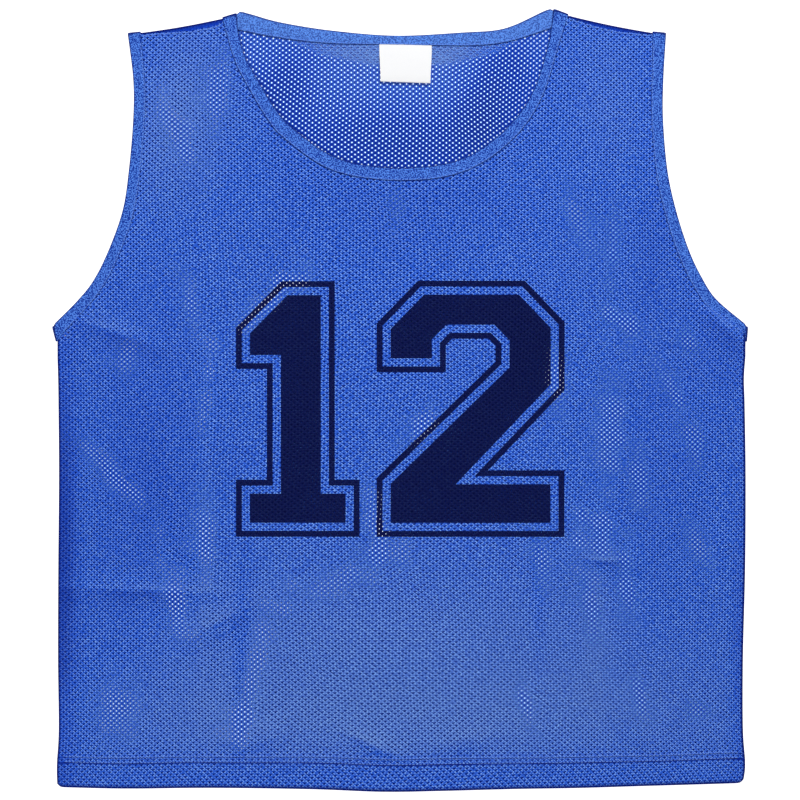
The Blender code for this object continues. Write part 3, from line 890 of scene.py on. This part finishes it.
# The side seams' strip is painted in shade: its round edge turns away from the light, and the allowances
# lie between the layers.
seam_cloth = knit_finish("seam_cloth", SEAM_EDGE_SHADE, SEAM_EDGE_SHADE, HEM_SHADE, 0.6)
for side, first_column, inward in (("left", 0, 1), ("right", COLUMNS, -1)):
    inset, share, rise = np.array(SIDE_FOLD).T
    row, point = np.meshgrid(SEAM_ROWS, np.arange(len(SIDE_FOLD)), indexing="ij")
    x, y = laid(np.full(row.shape, float(first_column)), row)
    x = x + inward * inset[point]
    low, high = back_height(x, y), front_height(x, y)
    z = low + (high - low) * share[point] + rise[point]
    places = np.stack([inset[point] / COLUMN_PITCH, row], axis=-1)
    seam = strip(f"side_seam_{side}", np.stack([x, y, z], axis=-1), places, seam_cloth)

# Shoulder seams
# Front and back meet on the shoulder in an overlocked seam that rolls forward, so a narrow edge of the back
# cloth shows above the front, painted darker as a roll in shade, with the overlock's threads along it.

RIDGE_WIDTH = 4.4
RIDGE_RIPPLE = 0.12
RIDGE_POINTS = 50  # sections along a seam
OVERLOCK_DROP = 1.1  # how far below the ridge its stitches lie
OVERLOCK_RISE = 0.1  # how far above the front cloth's middle they lie

# Across the seam: distance down from the shoulder line, share from back to front, further rise
SHOULDER_FOLD = [
    (RIDGE_WIDTH, 1.0, 0.10),
    (3.9, 1.0, 0.26),
    (2.4, 1.0, 0.34),
    (0.9, 1.0, 0.28),
    (0.1, 0.85, 0.15),
    (-0.25, 0.5, 0.0),
    (0.1, 0.15, -0.15),
    (0.9, 0.0, -0.26),
    (2.4, 0.0, -0.30),
    (3.9, 0.0, -0.24),
    (RIDGE_WIDTH, 0.0, -0.10),
]

# How much of that width shows along the seam: share of the way, share of the width
SHOULDER_WIDTHS = {
    "left": [(0.0, 0.25), (0.25, 0.4), (0.6, 1.0), (0.9, 1.0), (1.0, 0.5)],
    "right": [(0.0, 0.3), (0.3, 0.65), (0.6, 0.75), (0.8, 0.5), (1.0, 0.3)],
}

# The rolled seam is painted in shade, stronger than the panels.
shoulder_cloth = knit_finish("shoulder_cloth", CLOTH_STRONG, CLOTH_STRONG, CLOTH_BLUE, 0.5)
shoulder_ends = {
    "left": (armhole_left[-1, 2:], front_neck[0, 2:]),
    "right": (front_neck[-1, 2:], armhole_right[-1, 2:]),
}
for side, (start, end) in shoulder_ends.items():
    along = np.linspace(0, 1, RIDGE_POINTS)
    line = shoulder_line(start, end, SHOULDER_BOW, RIDGE_POINTS)
    run = (end - start) / np.hypot(*(end - start))
    down = np.array([run[1], -run[0]])
    inset, share, rise = np.array(SHOULDER_FOLD).T
    shown = np.interp(along, *np.array(SHOULDER_WIDTHS[side]).T)[:, None]
    inset = inset * np.where((inset > 0.5) & (share > 0.5), shown, 1.0)
    flat = line[:, None] + inset[..., None] * down
    low = back_height(flat[..., 0], flat[..., 1])
    high = front_height(flat[..., 0], flat[..., 1])
    ripple = 1 + RIDGE_RIPPLE * np.sin(along * 61)[:, None]
    z = low + (high - low) * share + rise * ripple
    column = 20 + along * np.hypot(*(end - start)) / COLUMN_PITCH
    places = np.stack(np.broadcast_arrays(column[:, None], inset / ROW_PITCH), axis=-1)
    seam = strip(f"shoulder_seam_{side}", np.dstack([flat, z]), places, shoulder_cloth)
    lower = line + (shown * RIDGE_WIDTH + OVERLOCK_DROP) * down
    sewn = np.column_stack([lower, front_height(*lower.T) + OVERLOCK_RISE])
    stitches(f"shoulder_stitches_{side}", sewn, (0, 0, 1), thread)

# Armhole bindings
# Each armhole is bound with a folded strip of the same mesh, which closes over the panel's cut edge
# and goes round the whole opening, turning over at the shoulder and at the armpit.

BINDING_BLUE = (0.003, 0.028, 0.310, 1.0)
BINDING_LIGHT = (0.096, 0.265, 0.870, 1.0)
BINDING_PALE = (0.170, 0.360, 0.770, 1.0)
FOLD_STEPS = 6
STITCH_INSET = 0.10  # share of the strip's width from its seam to its stitches
STITCH_OUT = 0.68  # how far the stitches stand out from the binding's middle
RIPPLES = (0.10, 0.05)  # how unevenly thick the strip is, in long and in short waves
TURN_REACH = 3.4  # how far along from a turn the cloth is still painted in shade
RIB_WIDTHS = (1.9, 2.3)  # from rib to rib of the strip's slanting grain, both ways
BACK_RUN = (1.6, 2.2)  # heights between which the back run's paler side gives way to the front's

# A binding's section, from its front seam edge round its open edge to the back: share of the width
# from open edge to seam, and height in half thicknesses
BINDING_SECTION = [
    (0.80, 0.30),
    (0.95, 0.34),
    (1.00, 0.58),
    (0.97, 0.84),
    (0.88, 0.90),
    (0.70, 0.94),
    (0.40, 0.95),
    (0.14, 0.88),
    (0.03, 0.55),
    (0.00, 0.0),
    (0.03, -0.55),
    (0.14, -0.88),
    (0.40, -0.95),
    (0.70, -0.94),
    (0.88, -0.90),
    (0.97, -0.84),
    (1.00, -0.58),
    (0.95, -0.34),
    (0.80, -0.30),
]


def binding_path(rows, fold_end, falling):
    """Rows, heights and outer directions along a strip's flat run, or its turn at one end."""
    if fold_end is None:
        up = np.tile([0.0, 0.0, 1.0 if falling else -1.0], (len(rows), 1))
        return rows, np.full(len(rows), FRONT_MIDDLE if falling else BACK_MIDDLE), up
    away = outward(rows, fold_end)
    angle = np.linspace(0, math.pi, FOLD_STEPS + 1)
    if not falling:
        angle = math.pi - angle
    radius = (FRONT_MIDDLE - BACK_MIDDLE) / 2
    turned = rows[fold_end] + np.outer(np.sin(angle) * radius, np.tile(away, 2))
    height = BACK_MIDDLE + radius + radius * np.cos(angle)
    up = np.column_stack([np.outer(np.sin(angle), away), np.cos(angle)])
    return turned, height, up


def binding(name, runs, finish):
    """A closed ring of folded strip through its runs."""
    rows, height, up = (np.concatenate(part) for part in zip(*runs))
    across, over = np.array(BINDING_SECTION).T
    middle = (rows[:, :2] + rows[:, 2:]) / 2
    along = np.concatenate([[0], np.cumsum(np.hypot(*np.diff(middle, axis=0).T))])
    ripple = 1 + RIPPLES[0] * np.sin(along / 1.15) * np.sin(along / 19 + 1)
    ripple = ripple + RIPPLES[1] * np.sin(along / 0.53)
    plan = rows[:, None, :2] + (rows[:, 2:] - rows[:, :2])[:, None] * across[:, None]
    raised = over * (BINDING_WALL / 2) * np.where(np.abs(over) > 0.5, ripple[:, None], 1.0)
    points = np.dstack([plan, np.tile(height[:, None], len(across))]) + up[:, None] * raised[..., None]
    turned = np.flatnonzero(np.abs(up[:, 2]) < 0.99)
    near_turn = np.abs(along[:, None] - along[turned]).min(axis=1)
    # Near a turn the folded edge's painted shade spreads over the whole strip.
    flatness = np.abs(up[:, 2]) * smooth_step(near_turn / TURN_REACH)
    places = np.stack(np.broadcast_arrays(along[:, None], across * flatness[:, None]), axis=-1)
    return strip(name, points, places, finish, closed=True)


def bound_finish(name, seam_shade):
    """The strip's cloth, with its grain at a slant, painted shadow along the seam where it is sewn down and
    painted shade where it folds.
    """
    finish = Finish(name, CLOTH_SHEEN)
    across = finish.mapped("knit")[1]
    x = finish.node("ShaderNodeSeparateXYZ", {}, {0: finish.node("ShaderNodeTexCoord", {}, {}, 3)})
    y, z = x.output(1), x.output(2)
    ribs_up = ((x + y) * (math.tau / (RIB_WIDTHS[0] * MM))).math("SINE")
    ribs_down = ((x - y) * (math.tau / (RIB_WIDTHS[1] * MM))).math("SINE")
    in_back = 1 - finish.step(z, BACK_RUN[0] * MM, BACK_RUN[1] * MM)
    grain = ribs_up * ribs_down * 0.35 + finish.noise(930.0, 2.0) * 5.2 - 2.25 + in_back * 0.1
    colour = finish.mixed(finish.step(grain, 0.0, 0.8), BINDING_BLUE, BINDING_LIGHT)
    colour = finish.mixed(in_back * 0.18, colour, BINDING_PALE)
    # Painted shadow along the sewn seam line, and painted shade at the folded open edge and round the
    # turns.
    painted_seam_shadow = finish.step(across, 0.93, 0.99) * seam_shade
    painted_edge_shade = (1 - finish.step(across, 0.0, 0.14)) * 0.9
    colour = finish.mixed(painted_seam_shadow.math("MAXIMUM", painted_edge_shade), colour, EDGE_SHADE_NAVY)
    relief = finish.node("ShaderNodeBump", {}, {"Height": grain, "Distance": 0.15 * MM, "Strength": 0.5})
    finish.plug(finish.shader, {"Base Color": colour, "Normal": relief})
    return finish


armhole_cloth = bound_finish("armhole_binding_cloth", 0.45)
for side, rows in (("left", armhole_left), ("right", armhole_right)):
    runs = [
        binding_path(rows[1:-1], None, True),
        binding_path(rows, -1, True),
        binding_path(rows[-2:0:-1], None, False),
        binding_path(rows, 0, False),
    ]
    bound = binding(f"armhole_strip_{side}", runs, armhole_cloth)
    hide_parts(f"armhole_binding_{side}")
    sewn = rows[2:-2, 2:] + (rows[2:-2, :2] - rows[2:-2, 2:]) * STITCH_INSET
    for layer, middle, up in (("front", FRONT_MIDDLE, 1), ("back", BACK_MIDDLE, -1)):
        z = np.full(len(sewn), middle + up * STITCH_OUT)
        stitches(
            f"armhole_stitches_{side}_{layer}",
            np.column_stack([sewn, z]),
            (0, 0, up),
            thread,
        )

# Neck binding
# The neck is bound like the armholes, with a strip cut across the knit so that it follows the curve.
# It is one ring: the front run lies on top, and the back run shows its inner side.

neck_runs = [
    binding_path(front_neck[1:-1], None, True),
    binding_path(front_neck, -1, True),
    binding_path(back_neck[-2:0:-1], None, False),
    binding_path(front_neck, 0, False),
]
neck_strip = binding("neck_strip", neck_runs, bound_finish("neck_binding_cloth", 0.9))
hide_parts("neck_binding")
neck_lines = (
    ("front", front_neck, FRONT_MIDDLE, 1),
    ("back_inner", back_neck, BACK_MIDDLE, 1),
    ("back_outer", back_neck, BACK_MIDDLE, -1),
)
for layer, rows, middle, up in neck_lines:
    sewn = rows[3:-3, 2:] + (rows[3:-3, :2] - rows[3:-3, 2:]) * STITCH_INSET
    z = np.full(len(sewn), middle + up * STITCH_OUT)
    stitches(f"neck_stitches_{layer}", np.column_stack([sewn, z]), (0, 0, up), thread)

# Neck label
# A strip of white woven satin is folded in half, and both ends are caught in the back neck seam. It
# lies on the inside of the back with a slight curl, and it is left without words.

LABEL_WIDTH = 42.5
LABEL_LENGTH = 29.5  # from the seam to the fold
LABEL_CURL = 0.35
WEAVE_REPEATS = (3.1, 4.7)  # floats of the satin in a millimetre, across and down
LABEL_TOP = (4.5, 286.5)
LABEL_TURN = math.radians(-2.0)
LABEL_TAPER = 0.05  # share by which the folded end draws in
LABEL_WHITE = (0.93, 0.93, 0.93, 1.0)
LABEL_SHADE = (0.84, 0.85, 0.88, 1.0)

# Down the label, round its fold and up behind: distance from the top, and height
LABEL_FOLD = [
    (-3.0, 1.05),
    (0.0, 1.35),
    (4.0, 1.8),
    (12.0, 2.3),
    (22.0, 2.8),
    (28.4, 3.1),
    (29.3, 3.0),
    (LABEL_LENGTH, 2.8),
    (29.3, 2.6),
    (28.4, 2.45),
    (22.0, 2.1),
    (12.0, 1.5),
    (0.0, 0.95),
    (-3.0, 0.9),
]

satin = Finish("label_satin_weave", {"Roughness": 0.42, "Specular IOR Level": 0.5, "Sheen Weight": 0.1})
across, down = satin.mapped("knit")
floats_across = (across * (math.tau * WEAVE_REPEATS[0])).math("SINE")
floats = floats_across * (down * (math.tau * WEAVE_REPEATS[1])).math("SINE")
weave = satin.noise(700.0, 2.0) * 0.3 + floats * 0.25 + 0.35
relief = satin.node("ShaderNodeBump", {}, {"Height": weave, "Distance": 0.05 * MM, "Strength": 0.6})
satin.plug(satin.shader, {"Base Color": satin.mixed(weave, LABEL_WHITE, LABEL_SHADE), "Normal": relief})

stations = np.linspace(-0.5, 0.5, 13) * LABEL_WIDTH
across, point = np.meshgrid(stations, np.arange(len(LABEL_FOLD)), indexing="ij")
down, height = (column[point] for column in np.array(LABEL_FOLD).T)
curl = LABEL_CURL * smooth_step(down / LABEL_LENGTH) * (np.abs(across) / LABEL_WIDTH * 2) ** 3
cosine, sine = math.cos(LABEL_TURN), math.sin(LABEL_TURN)
narrowing = 1 - LABEL_TAPER * smooth_step(down / LABEL_LENGTH)
x = LABEL_TOP[0] + across * cosine * narrowing
y = LABEL_TOP[1] + across * sine - down * cosine
sections = np.stack([x, y, height + curl], axis=-1)
label = strip("neck_label_satin", sections, np.stack([across, down], axis=-1), satin)
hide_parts("neck_label")

# Surface, light and camera
# The bib lies on a plain white surface under broad soft lights, and the camera looks straight down.

FLOOR_DROP = 0.55  # how far below the solids the surface lies, where the lowest stitches reach it
FLOOR_SIZE = 6.0
ROOM_LIGHT = 0.3  # strength of the even light from all round
CAMERA_HEIGHT = 3.0
VIEW_WIDTH = 0.648  # metres across the picture at the bib

floor_finish = Finish(
    "plain_surface",
    {
        "Base Color": (0.35, 0.35, 0.35, 1.0),
        "Roughness": 0.8,
        "Emission Color": (1.0, 1.0, 1.0, 1.0),
        "Emission Strength": 1.1,
    },
)
bpy.ops.mesh.primitive_plane_add(size=FLOOR_SIZE, location=(0, 0, -FLOOR_DROP * MM))
floor = bpy.context.object
floor.name = "surface"
floor.data.materials.append(floor_finish.material)

# Soft lights: name, place, size in metres, power
LIGHTS = [
    ("key_light", (0.6, 1.8, 1.9), 0.9, 50.0),
    ("fill_light", (-1.5, -0.9, 1.9), 1.6, 20.0),
]
for name, place, size, power in LIGHTS:
    lamp = bpy.data.lights.new(name, "AREA")
    lamp.size = size
    lamp.energy = power
    light = bpy.data.objects.new(name, lamp)
    light.location = place
    light.rotation_euler = (-Vector(place)).to_track_quat("-Z", "Y").to_euler()
    bpy.context.scene.collection.objects.link(light)

world = bpy.data.worlds.new("studio")
world.use_nodes = True
world.node_tree.nodes["Background"].inputs["Color"].default_value = (1.0, 1.0, 1.0, 1.0)
world.node_tree.nodes["Background"].inputs["Strength"].default_value = ROOM_LIGHT
bpy.context.scene.world = world
bpy.context.scene.view_settings.view_transform = "Standard"

camera_data = bpy.data.cameras.new("camera")
camera_data.sensor_width = 36.0
camera_data.lens = camera_data.sensor_width * CAMERA_HEIGHT / VIEW_WIDTH
camera = bpy.data.objects.new("camera", camera_data)
camera.location = (0, 0, CAMERA_HEIGHT)
bpy.context.scene.collection.objects.link(camera)
bpy.context.scene.camera = camera
